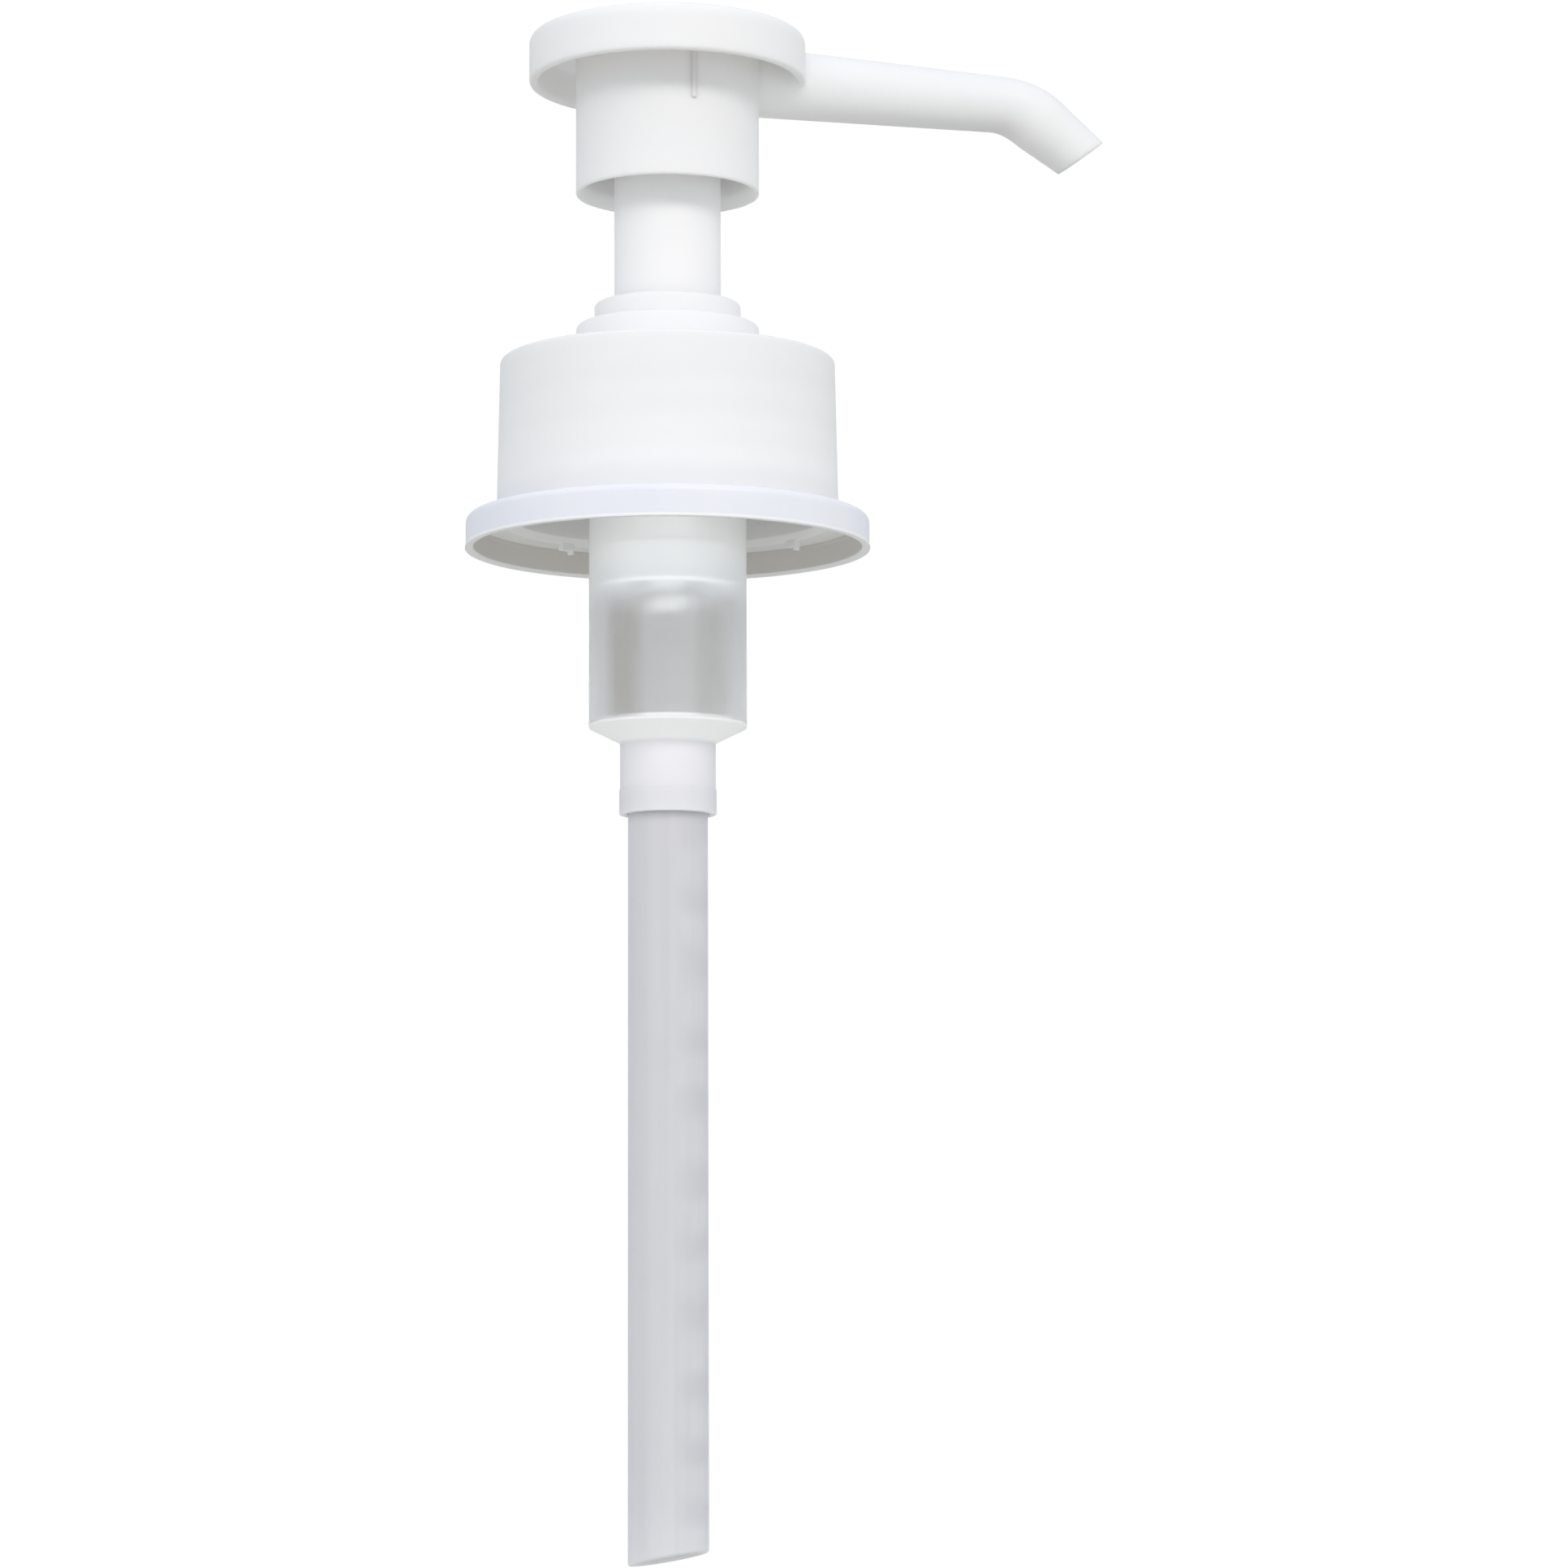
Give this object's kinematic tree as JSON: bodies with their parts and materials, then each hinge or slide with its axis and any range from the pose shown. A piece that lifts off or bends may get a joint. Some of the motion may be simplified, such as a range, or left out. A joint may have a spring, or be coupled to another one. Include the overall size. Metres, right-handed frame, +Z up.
{
  "type": "condiment pump dispenser",
  "caption": "Hand pump for a wide-neck condiment jug: thumb disc with a long bent spout, sprung piston in a frosted cylinder, screw closure with a skirt and a dip tube.",
  "frame": {"origin": "centre of the neck gasket's underside, on the pump axis, in the plane of the bottle's mouth", "axes": "+Z up along the pump axis towards the thumb disc, +X along the spout, +Y completes the right-handed frame"},
  "size_m": [0.0834, 0.0502, 0.1897],
  "materials": {
    "head": "satin moulded polypropylene, warm white",
    "stem": "satin moulded polypropylene, white",
    "rod": "natural white polypropylene",
    "piston": "soft white polyethylene",
    "bush": "satin moulded polypropylene, white",
    "wiper": "translucent silicone",
    "nut": "satin moulded polypropylene, white",
    "cap": "satin moulded polypropylene, slightly translucent",
    "skirt": "natural polypropylene, bluish and translucent",
    "gasket": "closed-cell foam",
    "cylinder": "frosted clear polypropylene",
    "foot": "natural polypropylene, milky",
    "cage": "natural polypropylene",
    "tube": "milky natural polyethylene",
    "spring": "stainless steel wire",
    "inlet_ball": "polished stainless steel",
    "outlet_ball": "polished stainless steel",
    "stop": "natural polypropylene"
  },
  "bodies": {
    "housing": {"cylinder": "cylinder", "retaining_nut": "nut", "guide_bush": "bush", "stem_wiper": "wiper", "neck_gasket": "gasket", "foot_valve_housing": "foot", "inlet_ball_cage": "cage", "return_spring": "spring", "dip_tube": "tube"},
    "closure": {"screw_cap": "cap", "skirt_ring": "skirt"},
    "plunger": {"stem": "stem", "piston_rod": "rod", "piston_seal": "piston", "outlet_ball_stop": "stop"},
    "head": {"actuator_head": "head"},
    "inlet_valve": {"inlet_ball": "inlet_ball"},
    "outlet_valve": {"outlet_ball": "outlet_ball"}
  },
  "joints": [
    {"name": "plunger_slide", "type": "slide", "parent": "housing", "child": "plunger", "axis": [0, 0, -1], "range_m": [0, 0.0145], "stiffness_N_per_m": 450, "springref_m": -0.02, "deforming": ["return_spring"]},
    {"name": "head_swivel", "type": "hinge", "parent": "plunger", "child": "head", "pos_m": [0, 0, 0.03], "axis": [0, 0, 1], "continuous": true},
    {"name": "closure_spin", "type": "hinge", "parent": "housing", "child": "closure", "pos_m": [0, 0, -0.005], "axis": [0, 0, 1], "continuous": true},
    {"name": "inlet_ball_lift", "type": "slide", "parent": "housing", "child": "inlet_valve", "axis": [0, 0, 1], "range_m": [0, 0.0011]},
    {"name": "outlet_ball_lift", "type": "slide", "parent": "plunger", "child": "outlet_valve", "axis": [0, 0, 1], "range_m": [0, 0.0024]}
  ]
}
